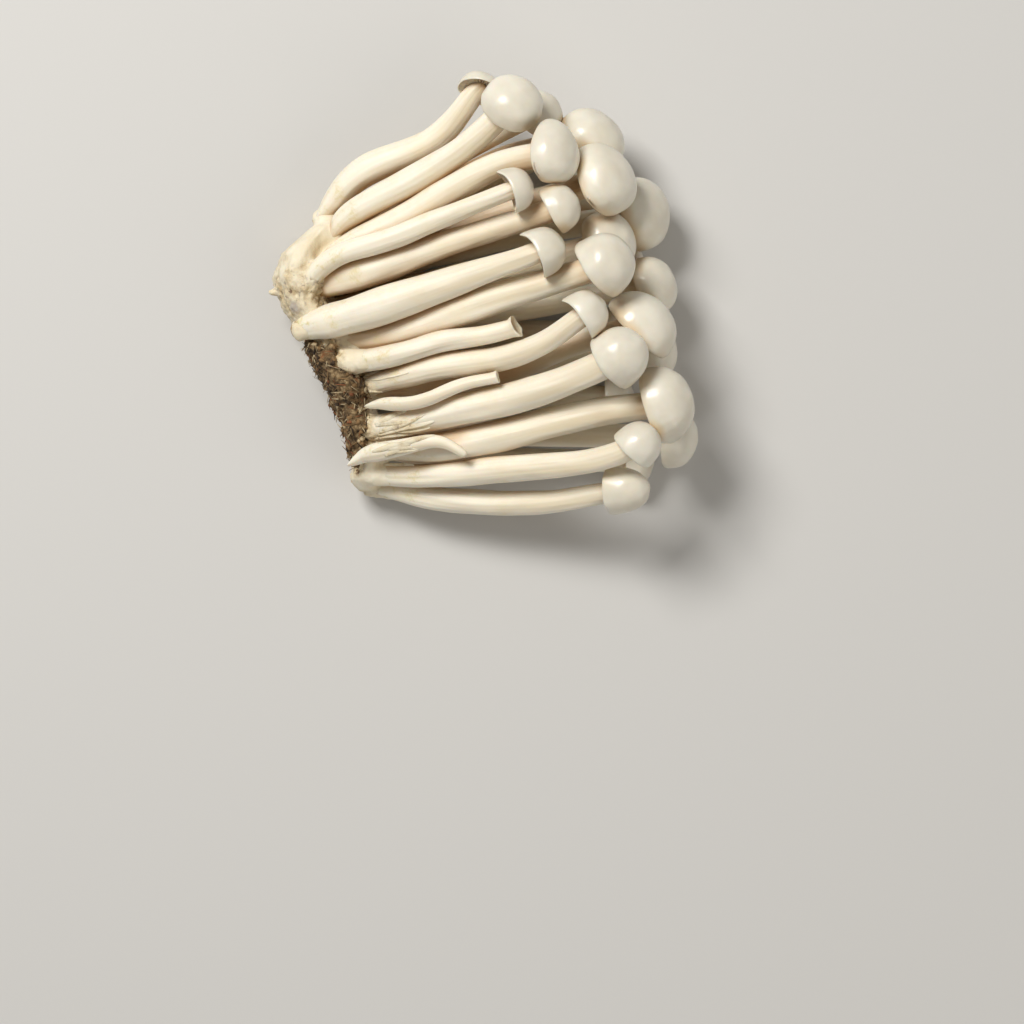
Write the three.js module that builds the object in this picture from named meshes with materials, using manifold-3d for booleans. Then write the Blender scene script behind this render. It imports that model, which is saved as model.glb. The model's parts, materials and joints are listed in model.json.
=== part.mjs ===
// A cluster of white beech mushrooms, cut from its growing block and laid on its side.
// Millimetres, +Z up. The stems run from the root end on the left, towards +X, and fan out to the caps.
// Every stem and every cap is a solid of its own. The stems stand on one butt of joined tissue,
// and a strip of the growing block still clings to the butt's cut side.
import * as THREE from "three";
import { mergeVertices } from "three/addons/utils/BufferGeometryUtils.js";
import Module from "manifold-3d";

const wasm = await Module();
wasm.setup();

// Driving dimensions
const GAP = 0.3; // clear space kept between touching pieces
const SEED = 20;

// Stems
const STEM_SIDES = 8;
const STEM_RINGS = 10; // rings along a stem, its two ends included
const BELLY_AT = 0.38; // where a stem is thickest, as a share of its length
const WOBBLE = 0.05; // how uneven a stem's girth is

// Caps. The dome's points are shares of the radius and the height. All else is a share of the radius.
const DOME = [[0, 1], [0.56, 0.84], [0.88, 0.5], [1, 0.02]];
const LIP = { reach: 0.96, drop: 0.13 }; // the rolled rim's lowest line
const GILLS = 12; // ridges under each cap, larger than life
const GILL_EDGE = { reach: 0.8, drop: 0.08 }; // where the gills meet the rim
const HUB = { margin: 0.1, rise: 0.1 }; // where they meet the stem
const GILL_RELIEF = 0.14; // how much deeper the hollow lines between the gills are
const SOCKET = 0.3; // how far a stem enters its cap

// How crowded shoots push each other apart
const BEADS = 14; // test points along a stem
const CAP_BEAD = { rise: 0.22, size: 0.93 }; // one round bead stands for a cap, as shares of its radius
const SETTLE_PASSES = 260;
const STIFFNESS = 0.35; // how much of each bead's shift is shared with its neighbours in a pass
const ON_TOP = { weight: 5, memory: 0.99 }; // a shoot on top holds its place and returns to its line
const UNDERNEATH = { weight: 1, memory: 0.998 }; // one underneath gives way

// Lumps
const BUTT_SIDES = 16;
const BUTT_ROUGH = 0.09; // how lumpy the surface is, as a share of its half size
const STRIP_SIDES = 14;
const STRIP_ROUGH = 0.16;

// The shoots, the upper ones first. firm marks a shoot on top. A line runs from the root through the stem to
// the seat of the cap. girth holds the stem's radius at the root, the belly and the neck. A cap has its radius
// and height, the way its dome faces (turn in plan from +X, tilt above the horizon), and how narrow it is
// (1 is round). Its egg, where it has one, tells where in plan its narrow end is and how much narrower that is.
// Lengths are in millimetres and angles in degrees.
const SHOOTS = [
  { name: "01", firm: true, girth: [2.4, 2.7, 2.0],
    line: [[-40, 4, 20], [-32.6, 9.8, 23.5], [-23.4, 12.3, 26], [-4.9, 19.1, 31], [7.5, 23.5, 37.5]],
    cap: { radius: 5.3, height: 4.8, turn: 20, tilt: -4, narrow: 1 } },
  { name: "02", firm: true, girth: [2.3, 4.5, 2.4], bellyAt: 0.28,
    line: [[-42.6, -8, 20], [-32.6, -5.6, 23], [-23.4, -2.8, 25.5], [-9.5, 2, 28], [4, 6.9, 32],
      [14.4, 10.8, 37]],
    cap: { radius: 6, height: 6, turn: 24, tilt: 0, narrow: 1 } },
  { name: "03", firm: true, girth: [2.5, 3.3, 2.4],
    line: [[-27, -21, 15], [-18.8, -19, 21], [-9.5, -16.3, 24], [4.4, -14.7, 28], [15, -10.6, 32.5],
      [24.3, -3.4, 38]],
    cap: { radius: 5.8, height: 5.7, turn: 34, tilt: 4, narrow: 1 } },
  { name: "04", firm: true, girth: [2.4, 3.1, 2.6],
    line: [[-39, 1.5, 17], [-30, 4.5, 20], [-18.8, 8, 22.5], [-4.9, 12.2, 26.5], [7, 15.2, 30.5],
      [16.4, 17.4, 35.5]],
    cap: { radius: 5.8, height: 5.9, turn: 28, tilt: 12, narrow: 1 } },
  { name: "05", firm: true, girth: [2.7, 3.8, 3.4],
    line: [[-26, -31, 16], [-14, -29, 21], [-4.9, -26.8, 24], [4.4, -24.9, 26.5], [18, -20.8, 31],
      [30.9, -15.2, 37]],
    cap: { radius: 7, height: 8.6, turn: 34, tilt: 28, narrow: 1 } },
  { name: "06", firm: true, girth: [2.6, 3.9, 3.0],
    line: [[-35, -9, 15], [-27, -11, 18], [-18.8, -9.5, 21], [-9.5, -6, 23.5], [9, -0.2, 29], [26.9, 4, 36]],
    cap: { radius: 7.5, height: 8, turn: 34, tilt: 28, narrow: 1 } },
  { name: "07", firm: true, girth: [2.6, 3.3, 3.0],
    line: [[-39.5, 6.5, 18], [-29, 12, 21.5], [-18.4, 17, 24.5], [-9.5, 22.3, 27], [4, 28.8, 30.5],
      [16.8, 30.9, 35]],
    cap: { radius: 7.6, height: 6.6, turn: -3, tilt: 32, narrow: 0.95, egg: [95, 0.18] } },
  { name: "08", firm: true, girth: [2.6, 3.3, 3.0],
    line: [[-38.5, 10.5, 16], [-30.5, 17.6, 20], [-18.5, 24, 24], [-5, 32, 27.5], [7.3, 42.8, 33]],
    cap: { radius: 7.2, height: 6.2, turn: 60, tilt: 54, narrow: 1 } },
  { name: "09", firm: true, girth: [2.4, 3.1, 2.8],
    line: [[-26, -41.5, 12], [-14, -42, 15.5], [4.4, -40.5, 21.5], [18.3, -39.3, 27], [27.5, -37.9, 31],
      [36.1, -34.8, 35]],
    cap: { radius: 5.5, height: 6.6, turn: 45, tilt: 22, narrow: 1 } },
  { name: "10", firm: true, girth: [2.6, 3.9, 3.1],
    line: [[-26, -36, 13], [-14, -36, 17], [-4.9, -35, 19.5], [9, -32, 23], [27, -28, 26.5], [40.5, -27, 30]],
    cap: { radius: 9, height: 8, turn: 17, tilt: 20, narrow: 0.92 } },
  { name: "11", firm: true, girth: [2.4, 3.0, 2.5],
    line: [[-26, -43.5, 7], [-14, -47, 10], [4.4, -48.5, 14.5], [18.3, -48, 19], [30.8, -45.6, 25.5]],
    cap: { radius: 5.5, height: 9, turn: 2, tilt: 26, narrow: 1 } },
  { name: "12", firm: true, girth: [2.4, 3.2, 2.6],
    line: [[-27, -22, 10], [-10, -20, 16], [4.4, -18.5, 20], [20, -12, 24], [36.4, -8.2, 28]],
    cap: { radius: 9, height: 7.7, turn: 45, tilt: 14, narrow: 0.93 } },
  { name: "13", firm: true, girth: [2.4, 3.2, 3.0],
    line: [[-39, 1.5, 9], [-26, 8, 13.5], [-10, 14, 17.5], [4, 19.5, 21.5], [15, 22.5, 25], [26.7, 26.8, 29]],
    cap: { radius: 8.8, height: 7.3, turn: 16, tilt: 34, narrow: 0.93, egg: [102, 0.16] } },
  { name: "14", firm: false, girth: [2.7, 3.6, 2.5],
    line: [[-36, 14.5, 13], [-34.3, 20, 15], [-29, 26.8, 17], [-21.5, 30.6, 18], [-11, 35.4, 19.5],
      [-0.3, 46.9, 24]],
    cap: { radius: 5, height: 3.9, turn: 75, tilt: -34, narrow: 1 } },
  { name: "15", firm: false, girth: [2.4, 3.3, 2.8],
    line: [[-39, 5, 12], [-28, 12, 14.5], [-14, 20.5, 17], [0, 28.5, 18.5], [12, 33, 19.5], [26, 34.6, 20.5]],
    cap: { radius: 8.4, height: 7, turn: 48, tilt: 26, narrow: 0.9 } },
  { name: "16", firm: false, girth: [2.3, 3.1, 2.6],
    line: [[-36, -3.5, 10], [-20, 0.5, 14], [-4, 4.5, 18], [10, 7, 20.5], [20, 9.5, 22.5], [30.4, 11.9, 24.5]],
    cap: { radius: 7.6, height: 6.6, turn: 20, tilt: 36, narrow: 1 } },
  { name: "17", firm: false, girth: [2.3, 3.0, 2.5],
    line: [[-38, 9, 9], [-28, 18, 11], [-14, 27, 13.5], [0, 35, 16.5], [13.3, 40.2, 19]],
    cap: { radius: 6, height: 5.1, turn: 38, tilt: 45, narrow: 1 } },
  { name: "18", firm: false, girth: [2.4, 3.3, 2.9],
    line: [[-38, 2, 5.5], [-24, 6, 8], [-8, 10, 10], [8, 14, 11.5], [22, 16.3, 12.5], [34.2, 18, 14.2]],
    cap: { radius: 8.7, height: 7.4, turn: 8, tilt: 24, narrow: 0.95 } },
  { name: "19", firm: false, girth: [2.3, 3.2, 2.8],
    line: [[-35, -9, 7], [-20, -7, 9], [-4, -5, 11], [12, -2.8, 13], [26, -0.6, 15], [38.5, 0.8, 17]],
    cap: { radius: 7.2, height: 6.4, turn: 22, tilt: 20, narrow: 1 } },
  { name: "20", firm: false, girth: [2.3, 3.1, 2.6],
    line: [[-31, -17, 6], [-16, -16.5, 9], [0, -16, 11.5], [16, -15, 13], [40, -13.5, 14.5]],
    cap: { radius: 6.6, height: 5.8, turn: -2, tilt: 14, narrow: 1 } },
  { name: "21", firm: false, girth: [2.3, 3.2, 2.7],
    line: [[-27, -31, 6], [-12, -31.5, 9], [4, -32, 11.5], [20, -32.5, 13], [44.5, -33.4, 14.5]],
    cap: { radius: 7, height: 6.1, turn: -5, tilt: 16, narrow: 1 } },
  { name: "22", firm: false, girth: [2.3, 3.1, 2.6],
    line: [[-36, 7, 3.5], [-22, 15, 4.5], [-6, 23, 5.5], [6, 29, 6], [16, 33.5, 6.4]],
    cap: { radius: 6.6, height: 5.7, turn: 27, tilt: 3, narrow: 1 } },
  { name: "23", firm: false, girth: [2.3, 3.1, 2.6],
    line: [[-36, 1, 3], [-20, 7, 4.5], [-4, 13.5, 5], [10, 18, 6], [22, 21.5, 6.3]],
    cap: { radius: 6.5, height: 5.6, turn: 14, tilt: 2, narrow: 1 } },
  { name: "24", firm: false, girth: [2.3, 3.2, 2.6],
    line: [[-34, -5.5, 3], [-18, -1.5, 4.5], [0, 2, 5], [16, 5.5, 6], [33, 7.5, 6.4]],
    cap: { radius: 6.6, height: 5.7, turn: 6, tilt: 2, narrow: 1 } },
  { name: "25", firm: false, girth: [2.3, 3.1, 2.6],
    line: [[-31, -12.5, 3], [-14, -10, 4.5], [2, -8.7, 5], [16, -8.4, 6], [28, -8.8, 6.4]],
    cap: { radius: 6.6, height: 5.7, turn: -3, tilt: 2, narrow: 1 } },
  { name: "26", firm: false, girth: [2.3, 3.2, 2.6],
    line: [[-28, -22.5, 3], [-12, -23, 4.5], [4, -23.5, 5], [18, -23.5, 6], [30, -23.5, 6.5]],
    cap: { radius: 6.7, height: 5.8, turn: 0, tilt: 3, narrow: 1 } },
  { name: "27", firm: false, girth: [2.3, 3.1, 2.6],
    line: [[-26, -35, 3.5], [-12, -37.4, 4.5], [4, -38.6, 5], [18, -38.6, 6], [35, -38.5, 6.3]],
    cap: { radius: 6.5, height: 5.6, turn: -4, tilt: 3, narrow: 1 } },
  // A stem that has lost its cap, and two that never grew one
  { name: "broken", firm: true, girth: [2.8, 2.6, 2.2],
    line: [[-30, -15.5, 20], [-18.8, -14, 25], [-9.5, -11.2, 27.5], [0, -10, 29], [8.1, -8, 31]] },
  { name: "stunted_1", firm: true, girth: [1.7, 1.7, 1.3],
    line: [[-24, -25.5, 22], [-14.1, -25.1, 27], [-4.9, -21.4, 29], [3.9, -19.6, 31]] },
  { name: "stunted_2", firm: true, girth: [2.3, 2.0, 1.1],
    line: [[-28, -37.5, 18], [-18.8, -35.7, 23], [-9.5, -34.2, 25], [-3.5, -37.5, 26]] },
];

// The butt and the strip of growing block are lofted along a line. width and depth are half sizes.
const BUTT = [
  { at: [-34.5, 18.5, 12], width: 1.5, depth: 3.5 },
  { at: [-36.5, 15.5, 12], width: 4, depth: 8 },
  { at: [-41, 10, 11.5], width: 6, depth: 11.5 },
  { at: [-42.8, 4, 11.2], width: 6.2, depth: 12.4 },
  { at: [-41, -3, 10.7], width: 6, depth: 12 },
  { at: [-36.3, -11, 9.3], width: 4.9, depth: 10.8 },
  { at: [-31, -20, 8.3], width: 4.3, depth: 9.6 },
  { at: [-27.3, -29, 8.3], width: 3.7, depth: 9.2 },
  { at: [-26.2, -37, 8.3], width: 3.6, depth: 8.9 },
  { at: [-27, -43, 8], width: 3.9, depth: 6.5 },
  { at: [-27, -45.5, 8], width: 1.8, depth: 3 },
];
const STRIP = [
  { at: [-37.8, -8.8, 13.5], width: 2.4, depth: 5 },
  { at: [-36.6, -12, 13], width: 4.8, depth: 8.8 },
  { at: [-34.2, -16.5, 12.5], width: 5.1, depth: 9.4 },
  { at: [-31.2, -21.5, 12.5], width: 5.4, depth: 9.4 },
  { at: [-29.8, -26.5, 12.3], width: 4.4, depth: 9.2 },
  { at: [-29, -31.5, 12], width: 3.4, depth: 8.6 },
  { at: [-28.5, -36.5, 11.5], width: 2.5, depth: 7.2 },
  { at: [-28.4, -41, 11], width: 1.3, depth: 4 },
];

// A seeded stream of numbers from 0 to 1
function stream(seed) {
  let state = seed >>> 0;
  return () => {
    state = (state + 0x6d2b79f5) >>> 0;
    let mixed = Math.imul(state ^ (state >>> 15), state | 1);
    mixed ^= mixed + Math.imul(mixed ^ (mixed >>> 7), mixed | 61);
    return ((mixed ^ (mixed >>> 14)) >>> 0) / 4294967296;
  };
}

// Seeded factors around 1
function unevenness(count, amount, seed) {
  const random = stream(seed);
  return Array.from({ length: count }, () => 1 + amount * (2 * random() - 1));
}

// Which of a turned shape's lines a point is on
function sideOf(x, z, sides) {
  return Math.round((Math.atan2(x, z) / (2 * Math.PI) + 1) * sides) % sides;
}

// A closed geometry as a solid, with its faces pointing out
function solidOf(geometry) {
  const bare = geometry.index ? geometry.toNonIndexed() : geometry.clone();
  bare.deleteAttribute("normal");
  bare.deleteAttribute("uv");
  const merged = mergeVertices(bare, 1e-3);
  const vertProperties = merged.attributes.position.array;
  const triVerts = new Uint32Array(merged.index.array);
  const made = () => new wasm.Manifold(new wasm.Mesh({ numProp: 3, vertProperties, triVerts }));
  const solid = made();
  if (solid.volume() > 0) return solid;
  for (let i = 0; i < triVerts.length; i += 3) triVerts.subarray(i, i + 2).reverse();
  return made();
}

function geometryOf(solid) {
  const mesh = solid.getMesh();
  const geometry = new THREE.BufferGeometry();
  geometry.setAttribute("position", new THREE.BufferAttribute(new Float32Array(mesh.vertProperties), 3));
  geometry.setIndex(new THREE.BufferAttribute(new Uint32Array(mesh.triVerts), 1));
  return geometry;
}

// Where a cap's dome faces
function facing({ turn, tilt }) {
  const plan = THREE.MathUtils.degToRad(turn);
  const rise = THREE.MathUtils.degToRad(tilt);
  return new THREE.Vector3(Math.cos(rise) * Math.cos(plan), Math.cos(rise) * Math.sin(plan), Math.sin(rise));
}

// A stem's radius at a share of its length: root to belly to neck, with soft turns
function girthAt({ girth: [root, belly, neck], bellyAt = BELLY_AT }, share) {
  if (share < bellyAt) return THREE.MathUtils.lerp(root, belly, THREE.MathUtils.smoothstep(share, 0, bellyAt));
  return THREE.MathUtils.lerp(belly, neck, THREE.MathUtils.smoothstep(share, bellyAt, 1));
}

// A spindle turned on its axis, then bent along the stem's line
function stemSolid(shoot, grow) {
  const curve = new THREE.CatmullRomCurve3(shoot.path, false, "centripetal");
  const rings = STEM_RINGS - 1;
  const profile = [new THREE.Vector2(0, 0)];
  for (let ring = 0; ring <= rings; ring++) {
    profile.push(new THREE.Vector2(girthAt(shoot, ring / rings) + grow, ring));
  }
  profile.push(new THREE.Vector2(0, rings));
  const spindle = new THREE.LatheGeometry(profile, STEM_SIDES);
  const frames = curve.computeFrenetFrames(rings);
  const bumps = unevenness(STEM_RINGS * STEM_SIDES, WOBBLE, SEED + shoot.order);
  const at = spindle.attributes.position;
  const point = new THREE.Vector3();
  for (let i = 0; i < at.count; i++) {
    const ring = Math.round(at.getY(i));
    const swell = bumps[ring * STEM_SIDES + sideOf(at.getX(i), at.getZ(i), STEM_SIDES)];
    curve.getPointAt(ring / rings, point);
    point.addScaledVector(frames.normals[ring], at.getX(i) * swell);
    point.addScaledVector(frames.binormals[ring], at.getZ(i) * swell);
    const end = ring === 0 ? -grow : ring === rings ? grow : 0;
    point.addScaledVector(frames.tangents[ring], end);
    at.setXYZ(i, point.x, point.y, point.z);
  }
  return solidOf(spindle);
}

// A dome with a rolled rim. Its underside is a ring of gills, which are alternate lines high and low
// round the seat of the stem.
function capSolid(shoot, grow) {
  const { radius, height, narrow } = shoot.cap;
  const reach = radius + grow;
  const lip = -LIP.drop * radius - grow;
  const hub = { reach: shoot.girth[2] + HUB.margin * radius, rise: HUB.rise * radius };
  const profile = DOME.map(([across, up]) => [across * reach, up * (height + grow)]);
  profile.push([LIP.reach * reach, lip]);
  if (grow > 0) profile.push([0, lip]);
  else profile.push([GILL_EDGE.reach * radius, -GILL_EDGE.drop * radius], [hub.reach, hub.rise], [0, hub.rise]);
  const lines = 2 * GILLS;
  const dome = new THREE.LatheGeometry(profile.map(([x, y]) => new THREE.Vector2(x, y)), lines);
  const axis = facing(shoot.cap);
  const side = new THREE.Vector3(0, 0, 1).cross(axis).normalize();
  const up = axis.clone().cross(side);
  const seat = shoot.path[shoot.path.length - 2];
  const [toward, taper] = shoot.cap.egg ?? [0, 0];
  const narrowEnd = facing({ turn: toward, tilt: 0 }).projectOnPlane(axis).normalize();
  const at = dome.attributes.position;
  const point = new THREE.Vector3();
  for (let i = 0; i < at.count; i++) {
    const [across, along, over] = [at.getX(i), at.getY(i), at.getZ(i)];
    const isHub = grow === 0 && Math.abs(along - hub.rise) < 1e-4 && Math.hypot(across, over) > 0.5 * hub.reach;
    const relief = isHub && sideOf(across, over, lines) % 2 ? GILL_RELIEF * radius : 0;
    point.copy(side).multiplyScalar(across).addScaledVector(up, over * narrow);
    const toEnd = point.dot(narrowEnd);
    const share = 1 - (taper * toEnd) / radius;
    point.addScaledVector(narrowEnd, -toEnd).multiplyScalar(share).addScaledVector(narrowEnd, toEnd);
    point.addScaledVector(axis, (along + relief) * share).add(seat);
    at.setXYZ(i, point.x, point.y, point.z);
  }
  return solidOf(dome);
}

// A lump lofted along a list of sections, with seeded knobs
function lumpSolid(sections, rough, sides, grow, seed) {
  const last = sections.length - 1;
  const profile = [[0, 0], ...sections.map((_, ring) => [1, ring]), [0, last]];
  const lathe = new THREE.LatheGeometry(profile.map(([x, y]) => new THREE.Vector2(x, y)), sides);
  const knobs = unevenness(sections.length * sides, rough, seed);
  const at = lathe.attributes.position;
  for (let i = 0; i < at.count; i++) {
    const ring = Math.round(at.getY(i));
    const { at: centre, width, depth } = sections[ring];
    const knob = knobs[ring * sides + sideOf(at.getX(i), at.getZ(i), sides)];
    const across = at.getX(i) * (width * knob + grow);
    const up = at.getZ(i) * (depth * knob + grow);
    const end = ring === 0 ? grow : ring === last ? -grow : 0;
    at.setXYZ(i, centre[0] + across, centre[1] + end, centre[2] + up);
  }
  return solidOf(lathe);
}

// Gives each shoot beads along its stem, and one for its cap. Each bead moves with one point of the line.
function stringBeads(shoot) {
  const line = shoot.line.map((point) => new THREE.Vector3(...point));
  shoot.home = new THREE.CatmullRomCurve3(line, false, "centripetal").getSpacedPoints(BEADS - 1);
  shoot.shifts = shoot.home.map(() => new THREE.Vector3());
  shoot.hold = shoot.firm ? ON_TOP : UNDERNEATH;
  const radiusAt = (i) => girthAt(shoot, i / (BEADS - 1));
  shoot.beads = shoot.home.map((at, i) => ({ at, shift: shoot.shifts[i], radius: radiusAt(i) }));
  if (!shoot.cap) return;
  const size = (shoot.cap.radius * (1 + shoot.cap.narrow)) / 2;
  const at = shoot.home[BEADS - 1].clone().addScaledVector(facing(shoot.cap), CAP_BEAD.rise * size);
  shoot.beads.push({ at, shift: shoot.shifts[BEADS - 1], radius: CAP_BEAD.size * size });
}

// Moves the beads of two shoots apart where they are too close, the one on top less than the other
function pushApart(a, b) {
  const share = b.hold.weight / (a.hold.weight + b.hold.weight);
  const apart = new THREE.Vector3();
  for (const beadA of a.beads) {
    for (const beadB of b.beads) {
      apart.copy(beadA.at).add(beadA.shift).sub(beadB.at).sub(beadB.shift);
      const need = beadA.radius + beadB.radius + GAP;
      const have = apart.length();
      if (have >= need) continue;
      apart.setLength((need - have) / 2);
      beadA.shift.addScaledVector(apart, share);
      beadB.shift.addScaledVector(apart, share - 1);
    }
  }
}

// Spreads a shoot's shifts along its stem, draws it back to its line and keeps it on the surface below
function relax(shoot) {
  const before = shoot.shifts.map((shift) => shift.clone());
  shoot.shifts.forEach((shift, i) => {
    const near = before[Math.max(i - 1, 0)].clone().add(before[Math.min(i + 1, BEADS - 1)]).divideScalar(2);
    shift.lerp(near, STIFFNESS).multiplyScalar(shoot.hold.memory);
  });
  for (const bead of shoot.beads) {
    bead.shift.z += Math.max(0, bead.radius - bead.at.z - bead.shift.z);
  }
}

// Leaves in each shoot the path of its stem, which ends inside the cap
function settle(shoots) {
  shoots.forEach(stringBeads);
  for (let pass = 0; pass < SETTLE_PASSES; pass++) {
    shoots.forEach((a, i) => shoots.slice(i + 1).forEach((b) => pushApart(a, b)));
    shoots.forEach(relax);
  }
  for (const shoot of shoots) {
    shoot.path = shoot.home.map((point, i) => point.clone().add(shoot.shifts[i]));
    if (!shoot.cap) continue;
    const seat = shoot.path[BEADS - 1];
    shoot.path.push(seat.clone().addScaledVector(facing(shoot.cap), SOCKET * shoot.cap.radius));
  }
}

// Takes the grown shapes of the pieces already placed away from a new one, so that a small gap is left
function clearOf(solid, others) {
  let kept = solid;
  for (const grown of others) {
    if (kept.intersect(grown).volume() > 0) kept = kept.subtract(grown);
  }
  return kept.decompose().sort((a, b) => b.volume() - a.volume())[0];
}

// Cuts away what is below the surface that the cluster lies on, which leaves small flat spots
function laidFlat(solid) {
  const size = 400; // well past the cluster on all sides
  const below = new THREE.BoxGeometry(size, size, size).translate(0, 0, -size / 2);
  return solid.subtract(solidOf(below));
}

const FINISHES = {
  cap: { color: 0xf1ebdd, roughness: 0.38, metalness: 0 },
  stem: { color: 0xeee3c9, roughness: 0.55, metalness: 0 },
  butt: { color: 0xd9c9a6, roughness: 0.85, metalness: 0 },
  strip: { color: 0x6f5535, roughness: 0.95, metalness: 0 },
};

const cluster = new THREE.Group();
cluster.name = "beech_mushroom_cluster";
const placed = [];

function place(name, finish, shape) {
  const solid = laidFlat(clearOf(shape(0), placed));
  placed.push(shape(GAP));
  const mesh = new THREE.Mesh(geometryOf(solid), new THREE.MeshStandardMaterial(FINISHES[finish]));
  mesh.name = name;
  cluster.add(mesh);
}

SHOOTS.forEach((shoot, order) => (shoot.order = order));
settle(SHOOTS);
place("butt", "butt", (grow) => lumpSolid(BUTT, BUTT_ROUGH, BUTT_SIDES, grow, SEED));
place("growing_block_strip", "strip", (grow) => lumpSolid(STRIP, STRIP_ROUGH, STRIP_SIDES, grow, SEED + 1));
for (const shoot of SHOOTS) {
  const label = shoot.cap ? "stem_" + shoot.name : shoot.name + "_stem";
  place(label, "stem", (grow) => stemSolid(shoot, grow));
  if (shoot.cap) place("cap_" + shoot.name, "cap", (grow) => capSolid(shoot, grow));
}

// The origin is under the middle of the cluster, on the surface that it lies on
const bounds = new THREE.Box3().setFromObject(cluster);
const middle = bounds.getCenter(new THREE.Vector3());
cluster.position.set(-middle.x, -middle.y, -bounds.min.z);

export default cluster;
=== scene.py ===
# %% [markdown]
# # A cluster of white beech mushrooms
# These mushrooms are sold as they grow: dozens of slender stems rising from one lump of joined tissue, each
# with a small round cap. This cluster has been cut from its growing block and laid on its side. The packed
# model holds every stem and cap at its true size and place. This notebook keeps each of them there and
# gives it a finer surface, so the first step is to load the model.

# %% Load the model
import json
import math
import random

import bmesh
import bpy
import numpy as np
from mathutils import Matrix, Vector, noise
from mathutils.bvhtree import BVHTree
from mathutils.kdtree import KDTree

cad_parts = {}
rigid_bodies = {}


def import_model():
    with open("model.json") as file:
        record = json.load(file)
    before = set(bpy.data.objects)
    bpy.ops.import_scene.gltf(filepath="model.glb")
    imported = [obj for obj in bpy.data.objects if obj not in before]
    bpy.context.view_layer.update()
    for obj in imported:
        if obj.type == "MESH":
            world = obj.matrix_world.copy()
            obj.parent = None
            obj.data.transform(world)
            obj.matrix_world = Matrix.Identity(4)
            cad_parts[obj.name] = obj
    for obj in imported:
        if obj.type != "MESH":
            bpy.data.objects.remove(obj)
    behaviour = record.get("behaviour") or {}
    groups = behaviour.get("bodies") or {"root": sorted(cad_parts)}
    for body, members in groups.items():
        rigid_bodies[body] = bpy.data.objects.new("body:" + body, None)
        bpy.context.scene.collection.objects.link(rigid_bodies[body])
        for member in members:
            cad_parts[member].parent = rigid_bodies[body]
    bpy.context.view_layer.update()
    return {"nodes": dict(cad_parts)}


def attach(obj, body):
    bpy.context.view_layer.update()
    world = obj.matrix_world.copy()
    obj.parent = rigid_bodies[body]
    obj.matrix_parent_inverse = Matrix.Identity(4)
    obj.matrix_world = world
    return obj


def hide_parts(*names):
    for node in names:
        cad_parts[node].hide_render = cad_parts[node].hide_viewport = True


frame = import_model()
MM = 0.001
UP = Vector((0, 0, 1))


def in_scene(name, data):
    """A new object of the scene that holds the mesh, the light or the camera."""
    made = bpy.data.objects.new(name, data)
    bpy.context.scene.collection.objects.link(made)
    return made


def mesh_of(bm, name):
    """The edited mesh as a mesh of its own name. The edited one is let go."""
    mesh = bpy.data.meshes.new(name)
    bm.to_mesh(mesh)
    bm.free()
    return mesh


# %% [markdown]
# ## The camera
# The cluster lies flat and is seen from straight above, so the camera looks down. A long lens from far away
# keeps the stems from leaning outwards, as they would close to a short one. The frame is square. Its width
# is a real width, measured in the layer where most of the caps are.

# %% Set up the camera
FRAME_WIDTH = 237 * MM
CAP_LAYER = 25 * MM
FRAME_CENTRE = Vector((6.5 * MM, -50.6 * MM, CAP_LAYER))
CAMERA_RISE = 1.2
SENSOR_MM = 36

lens = bpy.data.cameras.new("camera")
lens.sensor_width = SENSOR_MM
lens.lens = lens.sensor_width * CAMERA_RISE / FRAME_WIDTH
camera = in_scene("camera", lens)
camera.location = FRAME_CENTRE + Vector((0, 0, CAMERA_RISE))
bpy.context.scene.camera = camera
print("lens in mm:", round(lens.lens, 1))

# %% [markdown]
# ## Floor and light
# A pale matt floor and two large soft lights are enough. The main one stands to the upper left, which puts
# the bright side of every stem there and leaves the gaps between them dark. A weaker, warmer one fills from
# the right.

# %% Build the floor and the lights
FLOOR_SIZE = 3.0
KEY_AT = Vector((-0.38, 0.46, 0.85))
FILL_AT = Vector((0.70, -0.45, 0.60))
KEY_SIZE = 0.36
FILL_SIZE = 0.90
KEY_WATTS = 9.6
FILL_WATTS = 2.4
SKY = 0.24
DAYLIGHT = (1.0, 0.98, 0.95)
WARM_LIGHT = (1.0, 0.94, 0.86)


def colour(red, green, blue):
    """A colour as it is seen on a screen, from 0 to 255, as the linear values that Blender works with."""
    shares = [value / 255 for value in (red, green, blue)]
    return [share / 12.92 if share < 0.04045 else ((share + 0.055) / 1.055) ** 2.4 for share in shares] + [1]


def area_light(name, place, size, watts, tint):
    data = bpy.data.lights.new(name, "AREA")
    data.size = size
    data.energy = watts
    data.color = tint
    light = in_scene(name, data)
    light.location = place
    light.rotation_euler = (-place).to_track_quat("-Z", "Y").to_euler()


area_light("key", KEY_AT, KEY_SIZE, KEY_WATTS, DAYLIGHT)
area_light("fill", FILL_AT, FILL_SIZE, FILL_WATTS, WARM_LIGHT)

world = bpy.data.worlds.new("studio")
world.use_nodes = True
background = world.node_tree.nodes["Background"]
background.inputs["Color"].default_value = (*DAYLIGHT, 1)
background.inputs["Strength"].default_value = SKY
bpy.context.scene.world = world
bpy.context.scene.view_settings.view_transform = "Standard"

ground = bmesh.new()
bmesh.ops.create_grid(ground, x_segments=1, y_segments=1, size=FLOOR_SIZE / 2)
floor = in_scene("floor", mesh_of(ground, "floor"))

# %% [markdown]
# ## Materials
# Mushroom flesh is pale and slightly see-through. Light that enters a stem comes out warmer a little
# further on, which subsurface scattering gives. A small helper starts each finish with the values that are
# the same all over, and another adds a noise that colours or roughens it.

# %% Helpers for the finishes
GLOW = (1.0, 0.55, 0.28)
GLOW_DEPTH = 1.6 * MM
COAT_ROUGHNESS = 0.20


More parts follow.
